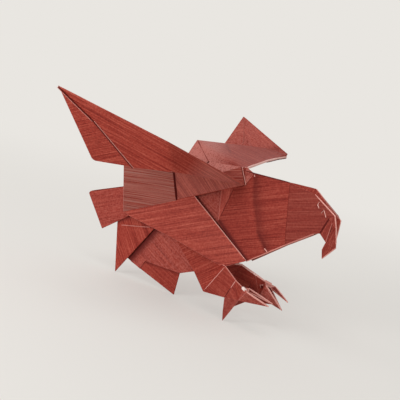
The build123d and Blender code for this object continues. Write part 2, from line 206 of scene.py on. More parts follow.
RIGHT_LEG = {"knee": (0.088, 0.503, 0.75), "ankle_top": (0.011, 0.78, 0.853),
             "knuckle": (-0.046, 1.058, 0.902)}
LEFT_LEG = {"knee": (0.056, 0.5, 0.744), "ankle_top": (-0.008, 0.779, 0.821),
            "knuckle": (-0.048, 1.058, 0.878)}
THIGH = {"thigh_rear": (0.418, 0.532), "thigh_front": (0.168, 0.71)}  # back and down
THIGH_BACK, ANKLE_LOW = (0.27, 0.798), (0.062, 0.983)  # back and down
THIGH_LEAN = 0.05
OUTER_TOE = (0.568, -0.305, 0.432)  # forward, out and down as shares of the toe's length
INNER_TOE = {-1: (0.643, -0.282, 0.459), 1: (0.64, -0.237, 0.713)}  # right and left
TOE_SIDE = {-1: 1, 1: 0.25}  # how far down its outer toe's side reaches, right and left
CLAW, LEFT_CLAW_BACK = (-0.108, 0, 0.994), 0.943  # shares of the claw's length
CLAW_HEEL, CLAW_BEHIND = 0.6, 0.0003  # of the way along, and metres behind the straight line


def place(shares, forward, out, down):
    """A place that lies shares of three sizes ahead of, beside and below the ridge."""
    return Vector((shares[0] * forward, shares[1] * out, -shares[2] * down))


def picked(at, stops):
    """Places in a row, given as places or by their names. One name may stand for several."""
    found = []
    for stop in stops.split() if isinstance(stops, str) else stops:
        stop = at[stop] if isinstance(stop, str) else stop
        found += stop if isinstance(stop, list) else [stop]
    return found


def flat_of(corners):
    """Origin and normal of the plane through the first three corners."""
    first, second, third = corners[:3]
    return first, (second - first).cross(third - first).normalized()


def beside(flat, forward, up):
    """The place on a plane that lies straight out from a place in the side view."""
    origin, normal = flat
    start = Vector((forward, 0, up))
    return start + Vector((0, (origin - start).dot(normal) / normal.y, 0))


def over(wings, flat, share):
    """The place on a plane that lies straight over a place of a wing in the top view."""
    origin, normal = flat
    start = Vector((-share[0] * wings.sweep, share[1] * wings.half_span, 0))
    return start + Vector((0, 0, (origin - start).dot(normal) / normal.z))


def on_back(share, body):
    """A place on the straight ridge of the back."""
    return Vector((-share * body.back_length, 0, -share * body.back_drop))


def hung(share, lean, body):
    """A place on a leaf that hangs from the back and leans to one side."""
    depth = share[1] * body.tail_depth - share[0] * body.back_drop
    return Vector((-share[0] * body.back_length, -lean * depth, -share[1] * body.tail_depth))


def head_places(body):
    """Named places of the neck, head and beak."""
    sizes = (body.head_reach, body.head_half_width, body.beak_drop)
    at = {name: place(shares, *sizes) for name, shares in HEAD.items()}

    def on_side(flat, share):
        return beside(flat, share[0] * body.head_reach, -share[1] * body.beak_drop)

    at["neck_low"] = on_side(flat_of(picked(at, "collar_top collar_low neck_top")), NECK_LOW)
    side = flat_of(picked(at, "neck_top neck_low throat"))
    at.update({name: on_side(side, share) for name, share in HEAD_SIDE.items()})
    at["eye_folds"] = [[on_side(side, share) for share in shares] for shares in EYE_FOLDS]
    return at


def body_places(body, wings, side):
    """Named places of the chest, back, covert and wing root of one side."""
    at = head_places(body)
    lift = body.left_covert_lift if side > 0 else 0
    root_up = wings.left_root_rise if side > 0 else -wings.right_root_drop

    def beside_body(flat, share, lift=0):
        return beside(flat, -share[0] * body.back_length, lift - share[1] * body.chest_depth)

    at["shoulder"], at["saddle"] = on_back(0, body), on_back(SADDLE, body)
    at["root"] = Vector((0, wings.root_half_width, root_up))
    at["covert_rear"] = place((COVERT_REAR[0], 1, COVERT_REAR[1]),
                              -body.back_length, body.covert_half_width, body.chest_depth)
    for name, share in WING_LINE.items():
        at[name + "_root"] = at["root"].lerp(at["covert_rear"], share)
    at["corner"] = place((CHEST["corner"][0], 1, CHEST["corner"][1]),
                         -body.back_length, body.chest_half_width, body.chest_depth)
    front = flat_of(picked(at, "collar_top collar_low corner"))
    for name in ("keel", "top"):
        at[name] = beside_body(front, CHEST[name])
    at["covert_front"] = Vector((-COVERT_FRONT[0] * body.back_length,
                                 COVERT_FRONT_OUT * body.covert_half_width,
                                 lift - COVERT_FRONT[1] * body.chest_depth))
    flat = flat_of(picked(at, "covert_rear covert_root covert_front"))
    at["covert_low"] = [beside_body(flat, share, lift) for share in COVERT_LOW]
    return at


def wing_places(body, wings, side):
    """Named places of one wing."""
    at = body_places(body, wings, side)
    at.update({name: place((-back, out, -up), wings.sweep, wings.half_span, wings.rise)
               for name, (back, out, up) in WING.items()})
    hand = flat_of(picked(at, "tip trailing wrist"))
    at.update({name: over(wings, hand, share) for name, share in HAND.items()})
    at["elbow"].z += wings.left_elbow_lift if side > 0 else 0
    arm = flat_of(picked(at, "root wrist elbow"))
    at["lower_edge"] = [over(wings, arm, share) for share in LOWER_EDGE]
    upper = flat_of(picked(at, "root wrist upper_rear"))
    at["upper_edge"] = [over(wings, upper, share) for share in UPPER_EDGE]
    at["pocket_top"] = at["root"].lerp(at["pocket_rear"], POCKET_TOP)
    at["pocket_top"].z += wings.pocket_lift
    pocket = flat_of(picked(at, "pocket_root covert_rear pocket_top"))
    at["pocket_rear"] = over(wings, pocket, WING["pocket_rear"])
    at["lip"] = [at["root"].lerp(at["wrist"], along) - Vector((0, 0, down * wings.left_lip_drop))
                 for along, down in LIP]
    return at


def leg_places(body, legs, side):
    """Named places of one leg. The left claw reaches back, down to the same ground."""
    own = LEFT_LEG if side > 0 else RIGHT_LEG
    at = {name: place(shares, -body.back_length, legs.foot_half_gap, legs.drop)
          for name, shares in {**LEG, **own}.items()}
    for name, (back, down) in THIGH.items():
        at[name] = hung((back, down * legs.drop / body.tail_depth), THIGH_LEAN * side, body)
    for name, (back, down), flat in (
            ("thigh_back", THIGH_BACK, "thigh_rear thigh_front heel"),
            ("ankle_low", ANKLE_LOW, "heel knee ankle_top")):
        at[name] = beside(flat_of(picked(at, flat)), -back * body.back_length, -down * legs.drop)
    for name, shares in (("outer", OUTER_TOE), ("inner", INNER_TOE[side])):
        at[name + "_tip"] = at[name + "_root"] + place(shares, legs.toe, legs.toe, legs.toe)
    at["toe_side"] = at["outer_root"].lerp(at["sole"], TOE_SIDE[side])
    at["claw_tip"] = at["ankle_low"] + place(CLAW, legs.claw, legs.claw, legs.claw)
    if side > 0:
        tail_point = hung(TAIL["second"][2][1], TAIL["second"][0], body)
        right = leg_places(body, legs, -1)["claw_tip"]
        slope = (right.z - tail_point.z) / (right.x - tail_point.x)
        ahead = at["ankle_low"].x - LEFT_CLAW_BACK * legs.claw
        at["claw_tip"] = Vector((ahead, at["ankle_low"].y,
                                 tail_point.z + slope * (ahead - tail_point.x)))
    heel = at["ankle_low"].lerp(at["claw_tip"], CLAW_HEEL)
    at["claw_heel"] = beside(flat_of(picked(at, "ankle_low sole claw_tip")),
                             heel.x - CLAW_BEHIND, heel.z)
    return at


# ---------------- folding the sheet

OUTWARD = Vector((0, 0.7, 1))       # the outer or upper face of a leaf looks this way
LEVEL = Vector((0.866, -0.5, 0))    # across the picture, for the near side in its mirror
AWAY = Vector((-0.5, -0.866, 0))    # and straight into it
ASLANT = Vector((0.3, 0.2, 0.9))    # no fold runs this way
EDGE_ON = 0.05                      # a leaf that faces the picture less than this is edge on
BORDER = 0.012                      # metres in from its edges, where a leaf bulges in full
COCKLES = 38                        # cockles to a metre of a pressed leaf
EVEN, UNEVEN = 0.6, 0.8             # shares of the bulge that they leave alone and make
RIM = 0.3                           # of its thickness, that the edge of a leaf rounds out
BEAD_PIECE = 0.004                  # metres between the rings of a fold's bead
BEAD_SIDES = 8
BEAD_END = 0.75                     # width of its ends, as a share of the rest
BEAD_UNEVEN, BEAD_WAVES = 0.12, 150  # how much its width varies, and how often to a metre
BEAD_GRAIN = 0.0003                 # metres of print round one side of it
SHARP = 0.75                        # radians: a sharper bend in a mesh is an edge
WELD = 2e-6                         # metres: closer corners of facets are one
LEAF_SEED, SIDE_SEED, PIECE_SEED, BEAD_SEED = 3.7, 50, 11.3, 5.1  # set the noises apart


def new_sheet(scene, name):
    """An empty sheet that leaves and folds are added to."""
    bm = bmesh.new()
    return {"name": name, "bm": bm, "paper": scene.eagle_paper, "stand": standing(scene),
            "thickness": scene.eagle_paper.leaf, "at": {},
            "side": 1, "grain": bm.loops.layers.uv.new("grain"), "leaves": 0,
            "shade": bm.verts.layers.float.new("shade"),
            "marks": {mark: bm.faces.layers.float.new(mark)
                      for mark in ("leaf_seed", "greyed", "pale", "worn")}}


def standing(scene):
    """The matrix that takes a place measured from the ridge to the standing bird."""
    stance = scene.eagle_stance
    lift = Matrix.Translation((stance.shoulder_ahead, 0, stance.shoulder_height))
    return lift @ Matrix.Rotation(-stance.nose_up, 4, "Y")


def placed(sheet):
    """The matrix for the side that is being folded: the right one is its mirror."""
    return sheet["stand"] @ Matrix.Scale(sheet["side"], 4, Vector((0, 1, 0)))


def grain_axes(normal, degrees, seen):
    """Directions along and across the grain, at an angle to the level of the picture."""
    turn = math.radians(degrees)
    along = LEVEL * math.cos(turn) + Vector((0, 0, math.sin(turn)))
    if seen:
        return along, along.cross(AWAY)
    facing = AWAY.dot(normal)
    if abs(facing) < EDGE_ON:
        along = (along - normal * along.dot(normal)).normalized()
    else:
        along = (along - AWAY * along.dot(normal) / facing).normalized()
    return along, normal.cross(along)


def facet_grid(facets, step):
    """A mesh of the middle of a leaf whose flat facets share corners, cut finely."""
    grid = bmesh.new()
    longest = max((a - b).length for facet in facets for a, b in zip(facet, facet[1:] + facet[:1]))
    count = max(2, math.ceil(longest / step))
    for facet in facets:
        for triangle in tessellate_polygon([facet]):
            a, b, c = (facet[i] for i in triangle)
            rows = [[grid.verts.new(a + (b - a) * (i / count) + (c - a) * (j / count))
                     for j in range(count - i + 1)] for i in range(count + 1)]
            for i in range(count):
                for j in range(count - i):
                    grid.faces.new((rows[i][j], rows[i + 1][j], rows[i][j + 1]))
                    if j < count - i - 1:
                        grid.faces.new((rows[i + 1][j], rows[i + 1][j + 1], rows[i][j + 1]))
    bmesh.ops.remove_doubles(grid, verts=grid.verts, dist=WELD)
    bmesh.ops.recalc_face_normals(grid, faces=grid.faces)
    return grid


def soften(grid, rounds):
    """Bends that cross the inside of a leaf become soft curves."""
    inner = [v for v in grid.verts if not v.is_boundary]
    for _ in range(rounds):
        moved = [sum((e.other_vert(v).co for e in v.link_edges), Vector()) / len(v.link_edges)
                 for v in inner]
        for vert, co in zip(inner, moved):
            vert.co = co


def blunt_corner(grid, before, corner, after, radius):
    """Rounds one corner of a flat leaf."""
    first, second = ((n - corner).normalized() for n in (before, after))
    half = first.angle(second) / 2
    middle = (first + second).normalized()
    centre = corner + middle * radius / math.sin(half)
    reach = radius / math.sin(half) - radius * math.sin(half)
    for vert in grid.verts:
        ray = vert.co - centre
        if (vert.co - corner).dot(middle) < reach and ray.length > radius:
            vert.co = centre + ray.normalized() * radius


def outline_of(facets):
    """Straight edges round a leaf: those that only one of its facets has."""
    counts = {}
    for facet in facets:
        for a, b in zip(facet, facet[1:] + facet[:1]):
            key = frozenset((tuple(a), tuple(b)))
            counts[key] = counts.get(key, []) + [(a, b)]
    return [pairs[0] for pairs in counts.values() if len(pairs) == 1]


def rising(value, start, end):
    """How far a value has come from a start to an end, from nothing to one."""
    return min(1.0, max(0.0, (value - start) / (end - start)))


def near_edge(point, edges):
    """Distance from a point to the nearest of some straight edges."""
    best = 1.0
    for start, end in edges:
        line = end - start
        share = rising((point - start).dot(line), 0, line.length_squared)
        best = min(best, (point - start - line * share).length)
    return best


def rim_directions(grid):
    """Which way the rounded rim of a leaf stands out, for each vertex of its edge."""
    ways = {}
    for edge in grid.edges:
        if edge.is_boundary:
            face = edge.link_faces[0]
            out = (edge.verts[1].co - edge.verts[0].co).cross(face.normal).normalized()
            if out.dot(edge.verts[0].co - face.calc_center_median()) < 0:
                out = -out
            for vert in edge.verts:
                ways[vert.index] = ways.get(vert.index, Vector()) + out
    return ways


def add_face(sheet, corners, uvs, **values):
    """Adds a face with its places on the grain and its marks for the print."""
    face = sheet["bm"].faces.new(corners)
    face.smooth = True
    for loop, uv in zip(face.loops, uvs):
        loop[sheet["grain"]].uv = uv
    for mark, value in values.items():
        face[sheet["marks"][mark]] = value


def leaf(sheet, stops, grain=0, greyed=0, pale=0, bulge=0.25, shift=0, rounds=0, blunt=0,
         seen=False, worn=0, rim=0.3, shades=(), step=None, thickness=None):
    """Adds a leaf of pressed plies with two faces and a rounded rim.

    A semicolon parts the facets of a bent leaf. Grain is in degrees, and where seen is true
    it runs on over the bends. Bulge is in millimetres, and so is shift, out from the middle
    of the bird. Rounds of softening curve the bends, and blunt is the radius of the second
    corner. Pale and worn are shares or functions of the place, two for the outer or upper face
    and the other. Pale gives paler, speckled print, and in places painted light. Worn gives
    paper paled by wear and painted highlight, and less than nothing is painted shade. Rim is
    how pale the edge is, by wear and painted highlight. Shades are paths of painted shade, or
    of painted light where a strength is below nothing: stops, half width in millimetres, and
    strength.
    """
    at = sheet["at"]
    facets = [picked(at, facet) for facet in
              (stops.split(";") if isinstance(stops, str) else [stops])]
    pale, worn = (look if isinstance(look, tuple) else (look, look) for look in (pale, worn))
    thickness = thickness or sheet["thickness"]
    shades = [(picked(at, path), *rest) for path, *rest in shades]
    grid = facet_grid(facets, step or sheet["paper"].mesh_step)
    normal = flat_of(facets[0])[1]
    if normal.dot(OUTWARD) < 0:
        normal = -normal
    if sum(face.normal.dot(normal) for face in grid.faces) < 0:
        bmesh.ops.reverse_faces(grid, faces=grid.faces)
    if blunt:
        blunt_corner(grid, *facets[0][:3], blunt)
    soften(grid, rounds)
    grid.normal_update()
    grid.verts.index_update()
    sheet["leaves"] += 1
    seed = (sheet["leaves"] * LEAF_SEED + (SIDE_SEED if sheet["side"] < 0 else 0)
            + len(sheet["name"]) * PIECE_SEED)
    edges, ways = outline_of(facets), rim_directions(grid)
    along, across = grain_axes(normal, grain, seen)
    put = placed(sheet)
    skins = []
    for vert in grid.verts:
        inside = rising(near_edge(vert.co, edges), 0, BORDER)
        inside = inside * inside * (3 - 2 * inside)
        ripple = EVEN + UNEVEN * noise.noise(vert.co * COCKLES + Vector((seed, 0, 0)))
        mid = vert.co + vert.normal * (inside * ripple * bulge / 1000 + shift / 1000)
        half = vert.normal * thickness / 2
        layers = [mid - half, mid + half]
        if vert.index in ways:
            layers.append(mid + ways[vert.index].normalized() * thickness * RIM)
        # painted shade near the shade paths, and painted light where a strength is below nothing
        depth = sum(
            strength * math.exp(-(near_edge(mid, zip(path, path[1:])) * 1000 / half_width) ** 2)
            for path, half_width, strength in shades)
        layers = [sheet["bm"].verts.new(put @ layer) for layer in layers]
        for made in layers:
            made[sheet["shade"]] = depth
        skins.append((layers, (mid.dot(along), mid.dot(across))))

    def skin(corners, uvs, which, centre, on_rim=None):
        # pale is paler speckled print and painted light; the other share is wear, painted
        # highlight and, below nothing, painted shade
        thin, wear_and_light_here = (value(centre) if callable(value) else value
                        for value in (pale[which], worn[which]))
        add_face(sheet, corners, uvs, leaf_seed=seed, greyed=greyed, pale=thin,
                 worn=max(wear_and_light_here, on_rim) if on_rim else wear_and_light_here)

    for face in grid.faces:
        ring = [skins[vert.index] for vert in face.verts]
        centre = face.calc_center_median()
        skin([layers[1] for layers, _ in ring], [uv for _, uv in ring], 0, centre)
        ring.reverse()
        skin([layers[0] for layers, _ in ring], [uv for _, uv in ring], 1, centre)
    for edge in grid.edges:
        if edge.is_boundary:
            (a, a_uv), (b, b_uv) = (skins[vert.index] for vert in edge.verts)
            uvs, centre = (a_uv, b_uv, b_uv, a_uv), edge.verts[0].co
            skin((a[0], b[0], b[2], a[2]), uvs, 1, centre, rim)
            skin((a[2], b[2], b[1], a[1]), uvs, 0, centre, rim)
    grid.free()


def fold(sheet, stops, worn, width=None, shift=(0, 0, 0)):
    """Adds the rounded edge of a fold, a thin bead that runs through the stops.

    Width and shift are in millimetres, and shift moves it forward, out and up. Worn is how
    pale the bead is, by wear along the fold and painted highlight, where less than nothing
    means painted shade in the crease.
    """
    stops = picked(sheet["at"], stops)
    width = sheet["paper"].fold if width is None else width / 1000
    shift = Vector(shift) / 1000
    path = [stops[0]]
    for start, end in zip(stops, stops[1:]):
        pieces = max(1, round((end - start).length / BEAD_PIECE))
        path += [start.lerp(end, (i + 1) / pieces) for i in range(pieces)]
    put = placed(sheet)
    sheet["leaves"] += 1
    seed = sheet["leaves"] * BEAD_SEED
    rings, travelled = [], 0.0
    turns = [math.tau * k / BEAD_SIDES for k in range(BEAD_SIDES)]
    for i, centre in enumerate(path):
        before, after = path[max(i - 1, 0)], path[min(i + 1, len(path) - 1)]
        ahead = (after - before).normalized()
        u = (ASLANT - ahead * ASLANT.dot(ahead)).normalized()
        v = ahead.cross(u)
        radius = width / 2 * (BEAD_END if i in (0, len(path) - 1) else 1)
        radius *= 1 + BEAD_UNEVEN * noise.noise(centre * BEAD_WAVES + Vector((seed, 0, 0)))
        if i:
            travelled += (centre - before).length
        rings.append(([sheet["bm"].verts.new(
            put @ (centre + shift + (u * math.cos(t) + v * math.sin(t)) * radius))
            for t in turns], travelled))
    for (ring, start), (after, end) in zip(rings, rings[1:]):
        for k in range(BEAD_SIDES):
            n = (k + 1) % BEAD_SIDES
            low, high = k * BEAD_GRAIN, n * BEAD_GRAIN
            add_face(sheet, (ring[k], ring[n], after[n], after[k]),
                     ((start, low), (start, high), (end, high), (end, low)),
                     leaf_seed=seed, worn=worn)
    for ring in (list(reversed(rings[0][0])), rings[-1][0]):
        add_face(sheet, ring, [(0, 0)] * BEAD_SIDES, leaf_seed=seed, worn=worn)


def fold_piece(scene, name, fold_up):
    """Folds one piece, which stands for the CAD bird and rides on it."""
    sheet = new_sheet(scene, name)
    fold_up(scene, sheet)
    bm = sheet["bm"]
    bmesh.ops.recalc_face_normals(bm, faces=bm.faces)
    for edge in bm.edges:
        edge.smooth = len(edge.link_faces) == 2 and edge.calc_face_angle(0) < SHARP
    for vert in bm.verts:
        vert.co = Vector([min(max(x, low), high)
                          for x, low, high in zip(vert.co, CAD_LOW, CAD_HIGH)])
    mesh = bpy.data.meshes.new(name)
    bm.to_mesh(mesh)
    bm.free()
    piece = bpy.data.objects.new(name, mesh)
    scene.collection.objects.link(piece)
    mesh.materials.append(printed_paper(scene))
    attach(piece, "root")
    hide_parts(NODE)
    return {"FINISHED"}


# ---------------- the printed paper

def linear(text):
    """Linear RGBA of an sRGB hex value."""
    parts = [int(text[i:i + 2], 16) / 255 for i in (1, 3, 5)]
    return [c / 12.92 if c <= 0.04045 else ((c + 0.055) / 1.055) ** 2.4 for c in parts] + [1.0]


def node(tree, kind, inputs=(), **settings):
    """Adds one node with its settings, and sets each input or links it to a node or socket."""
    made = tree.nodes.new("ShaderNode" + kind)
    for name, value in settings.items():
        setattr(made, name, value)
    for socket, value in dict(inputs).items():
        if isinstance(value, bpy.types.Node):
            value = value.outputs[0]
        if isinstance(value, bpy.types.NodeSocket):
            tree.links.new(value, made.inputs[socket])
        else:
            made.inputs[socket].default_value = value
    return made


def empty_tree(owner):
    """The node tree of a material or a world, with nothing in it."""
    owner.use_nodes = True
    owner.node_tree.nodes.clear()
    return owner.node_tree


def printed_paper(scene):
    """Matte printed paper, about 90 grams a square metre, folded dry and pressed by hand.

    The print gives fine wood grain along each leaf, and the pressing leaves faint cockles.
    Rubbing at the folds has taken the ink off, so they show as thin pale lines. These lines
    are also painted highlight where an edge faces the light, and painted shade darkens
    creases, gaps, whole leaves and the paper under the edges of leaves.
    """
    name = "matte_paper_printed_with_red_wood_grain"
    if name in bpy.data.materials:
        return bpy.data.materials[name]
    paper = scene.eagle_paper
    paint = bpy.data.materials.new(name)
    tree = empty_tree(paint)
    marks = {mark: node(tree, "Attribute", attribute_name=mark).outputs["Fac"]
             for mark in ("leaf_seed", "greyed", "pale", "worn", "shade")}
    parts = node(tree, "SeparateXYZ", {0: node(tree, "UVMap", uv_map="grain")})
    on_leaf = node(tree, "CombineXYZ", {
        "X": parts.outputs["X"], "Y": parts.outputs["Y"], "Z": marks["leaf_seed"]})
    on_bird = node(tree, "TexCoord").outputs["Object"]

    # Sizes of the pattern in millimetres: along the grain, across it, and from leaf to leaf.
    # Grain lines of real veneer are 0.3 mm apart, the fibres of paper 0.02 mm, and thin print
    # lets the paper through in specks as small: all are drawn about 1 mm wide, so that they show
    print_of = {}
    for pattern, source, size, detail, rough in (
            ("fine", on_leaf, (60, 0.95, 1000), 2.0, 0.65),
            ("hair", on_leaf, (24, 0.5, 1000), 1.0, 0.5),
            ("broad", on_leaf, (140, 5, 1000), 1.0, 0.5),
            ("pores", on_leaf, (14, 0.5, 1000), 0.0, 0.5),
            ("fibre", on_bird, (1.111, 1.111, 1.111), 2.0, 0.6),
            ("specks", on_bird, (1.25, 1.25, 1.25), 1.0, 0.5)):
        spread = node(tree, "VectorMath", {0: source, 1: [1000 / mm for mm in size]},
                      operation="MULTIPLY")
        print_of[pattern] = node(tree, "TexNoise", {
            "Vector": spread, "Scale": 1.0, "Detail": detail, "Roughness": rough})
    tone = 0.0
    for pattern, weight in (("fine", 0.44), ("hair", 0.25), ("broad", 0.08), ("specks", 0.23)):
        tone = node(tree, "Math", {0: print_of[pattern], 1: weight, 2: tone},
                    operation="MULTIPLY_ADD")
    ramp = node(tree, "ValToRGB", {"Fac": tone})
    ramp.color_ramp.elements.new(0.5)
    for element, (position, tint) in zip(ramp.color_ramp.elements, (
            (0.36, paper.red_dark), (0.5, paper.red_mid), (0.66, paper.red_light))):
        element.position, element.color = position, linear(tint)

    # What lies over the grain: a share of each colour, the last on top
    layers = []
    # open pores of the printed wood: short lines, darker and paler than the grain
    for start, end, most, tint in ((0.30, 0.22, 0.55, paper.red_dark),
                                   (0.70, 0.80, 0.5, paper.red_light)):
        layers.append((node(tree, "MapRange", {
            "Value": print_of["pores"], "From Min": start, "From Max": end, "To Max": most},
            clamp=True), tint))
    # a greyer colour and a paler one, each patchy, and the pale colour of wear; the paler one is
    # also painted light in places, and the wear colour also painted highlight
    for mark, pattern, gain, base, tint in (("greyed", "fine", 2.6, -0.8, paper.greyed),
                                            ("pale", "specks", 2.7, -0.55, paper.pale),
                                            ("worn", "hair", 0.8, 0.55, paper.worn)):
        patchy = node(tree, "Math", {0: print_of[pattern], 1: gain, 2: base},
                      operation="MULTIPLY_ADD")
        layers.append((node(tree, "Math", {0: marks[mark], 1: patchy}, operation="MULTIPLY",
                            use_clamp=True), tint))
    # more than one is a near-white painted highlight, and less than nothing is painted shade,
    # added to the painted shade and painted light of the shade paths
    layers.append((node(tree, "Math", {0: marks["worn"], 1: 1.0}, operation="SUBTRACT",
                        use_clamp=True), paper.painted_highlight))
    unworn = node(tree, "Math", {0: marks["worn"], 1: -1.0}, operation="MULTIPLY", use_clamp=True)
    layers.append((node(tree, "Math", {0: unworn, 1: marks["shade"]}, operation="ADD",
                        use_clamp=True), paper.painted_shade))
    red = ramp.outputs["Color"]
    for share, tint in layers:
        red = node(tree, "Mix", {0: share, 6: red, 7: linear(tint)},
                   data_type="RGBA").outputs[2]

    height = node(tree, "Math", {0: print_of["fibre"], 1: 0.4}, operation="MULTIPLY")
    height = node(tree, "Math", {0: tone, 1: 0.6, 2: height}, operation="MULTIPLY_ADD")
    bump = node(tree, "Bump", {"Strength": 0.3, "Distance": 0.0001, "Height": height})
    rough = node(tree, "Math", {0: print_of["fibre"], 1: 0.2, 2: 0.5}, operation="MULTIPLY_ADD")
    shader = node(tree, "BsdfPrincipled", {
        "IOR": 1.45, "Specular IOR Level": 0.11, "Base Color": red, "Roughness": rough,
        "Normal": bump})
    node(tree, "OutputMaterial", {"Surface": shader})
    return paint


# ---------------- the pieces of the bird

def fold_head(scene, sheet):
    """The head and the hooked beak."""
    sheet["at"] = at = head_places(scene.eagle_body)
    for side in (1, -1):
        sheet["side"] = side
        # the head's leaves take painted shade; its pale beads are wear and painted highlight along
        # the edges, eyes and throat, and its dark beads painted shade in the mouth and beside the
        # eyes
        leaf(sheet, "neck_top neck_low throat mouth_low mouth_top eye_edge eye_top", grain=1,
             bulge=0.35, greyed=0.12, worn=-0.45)
        fold(sheet, "neck_low throat", 0.5, 0.8, (0, 0.2, -0.35))
        for stops in ("neck_top eye_top forehead", "forehead eye_top eye_edge",
                      "forehead eye_edge brow", "brow eye_edge cheek_edge",
                      "brow cheek_edge bridge"):
            leaf(sheet, stops, grain=55, bulge=0, worn=(-0.35, 0))
        for stops in ("mouth_top eye_edge cheek_edge", "mouth_top cheek_edge bridge",
                      "mouth_top bridge gape", "mouth_top gape mouth_low", "gape bridge hook",
                      "gape hook beak_tip", "gape beak_tip lip"):
            leaf(sheet, stops, grain=65, bulge=0, greyed=0.15, worn=-0.32)
        fold(sheet, "eye_top eye_edge cheek_edge bridge", 0.9, 0.95)
        fold(sheet, "mouth_low mouth_top", -0.95, 1.3)
        fold(sheet, [at["mouth_top"].lerp(at["cheek_edge"], 0.45), at["gape"]], 0.3, 0.6,
             (0, 0.3, 0))
        for eye_fold in at["eye_folds"]:
            fold(sheet, eye_fold, 1.1, 0.65, (0, 0.35, 0))
            fold(sheet, eye_fold, -0.7, 0.6, (-0.55, 0.15, -0.1))
    # painted shade along the top of the neck, and wear with painted highlight along the ridge of
    # the beak
    fold(sheet, "neck_top forehead", -0.4)
    fold(sheet, "forehead brow bridge", 0.9, 1.0)
    fold(sheet, "bridge hook beak_tip", 0.7, 0.9)


def fold_chest(scene, sheet):
    """The neck, chest and back, and the flaps behind the wings."""
    ahead = Vector((0.001, 0, 0))
    for side in (1, -1):
        sheet["side"] = side
        sheet["at"] = at = body_places(scene.eagle_body, scene.eagle_wings, side)

        def down_collar(share):
            return at["collar_top"].lerp(at["collar_low"], share)

        # the crease of the collar is pressed softly, and bows back between its ends: painted shade
        # runs along it, with a band of painted light just behind it
        bow = [down_collar(share) - ahead * back
               for share, back in ((0, 0), (0.33, 3.3), (0.74, 4), (1, 0))]
        shades = [([stop + ahead * steps for stop in bow], half_width, strength)
                  for steps, half_width, strength in (
                      (-1.5, 2.0, -0.14), (0.5, 1.4, 0.22), (2, 2.6, 0.22), (4.5, 4, 0.12))]
        # the neck and chest take painted shade all over, and the painted shadow of the covert
        # along the edge from keel to corner
        leaf(sheet, "collar_top collar_low keel corner top;"
                    "collar_top collar_low neck_low neck_top",
             grain=6, bulge=0.4, rounds=5, worn=-0.26, step=0.0018, seen=True,
             shades=shades + [(bow[2:], 1.2, 0.3), ("keel corner", 1.9, 0.8)])
        # a painted highlight at the top of the chest, by the wing root
        leaf(sheet, "collar_top top root", grain=8, pale=(0.3, 0))
        leaf(sheet, "collar_top root shoulder", grain=8, pale=(0.6, 0))
        # a little painted light on the sliver and the covert, and painted shade on the leaves
        # between them
        leaf(sheet, "top corner sliver_root", grain=80, worn=(0.04, 0))
        for stops in ("root top sliver_root", "shoulder saddle covert_rear",
                      "shoulder covert_rear root"):
            leaf(sheet, stops, grain=5, worn=-0.16)
        leaf(sheet, "covert_rear covert_root covert_front covert_low", grain=10, bulge=0.7,
             worn=(0.03, 0))
        # pale beads are wear and painted highlight: the throat's lower edge, the covert's edge,
        # the sliver; dark ones are painted shade: the neck's crease, and where the covert shades
        # the chest
        for stops, *look in (
                ("neck_low collar_low keel", 0.5, 0.8, (0, 0.2, -0.35)),
                ("neck_top neck_low", -0.7, 0.8), ("keel corner top root", -0.75, 0.9),
                ("covert_root covert_front", 0.8, 0.75), ("sliver_root corner", 0.55, 0.6)):
            fold(sheet, stops, *look)
        # a pale nick at the foot of the collar, and a pale dot at its top
        fold(sheet, [down_collar(0.95) - ahead * 0.8, down_collar(0.99) + ahead * 0.8],
             0.85, 1.1, (0, 0.3, 0))
        fold(sheet, [down_collar(0.02), down_collar(0.045)], 1.0, 0.9, (0.4, 0.3, 0))
    # painted shade along the ridge of the shoulders and neck
    fold(sheet, "shoulder collar_top neck_top", -0.85, 1.0)


def fold_tail(scene, sheet):
    """The tail and belly leaves that hang from the back."""
    body = scene.eagle_body
    looks = {"tail": (10, 0.15, -0.18), "second": (-65, 0, -0.08), "belly": (-45, 0.25, -0.08),
             "under": (-39, 0, -0.16)}  # grain, pale print and painted shade
    # painted shadow under the edge of the leaf in front
    under = {"second": [(((0.72, 0.33), (0.525, 0.455)), 2.2, 0.6),
                        (((0.887, 0.466), (0.712, 0.359)), 2.2, 0.7)],
             "belly": [(((0.772, 0.824), (0.529, 0.458)), 3.4, 0.85),
                       (((0.525, 0.457), (0.106, 0.751)), 1.6, 0.35)],
             "under": [(((0.605, 0.73), (0.382, 0.817)), 1.5, 0.6)]}
    for name, (lean, roots, corners) in TAIL.items():
        grain, pale, worn = looks[name]
        shades = [([hung(share, lean, body) for share in path], half_width, strength)
                  for path, half_width, strength in under.get(name, ())]
        leaf(sheet, [on_back(root, body) for root in roots]
             + [hung(share, lean, body) for share in corners], grain=grain, bulge=0.4, pale=pale,
             worn=worn, shades=shades, rim=0, step=0.0014 if name == "belly" else None,
             blunt=TAIL_CORNER if name == "tail" else 0)
    # a painted highlight along a crease of the second leaf, and painted shade along the ridge of
    # the back
    lean = TAIL["second"][0]
    fold(sheet, [hung((0.76, 0.436), lean, body), hung((0.572, 0.451), lean, body)],
         0.45, 0.6, (0, -0.35, 0))
    fold(sheet, [on_back(0, body), on_back(RIDGE_END, body)], -0.7, 0.9)


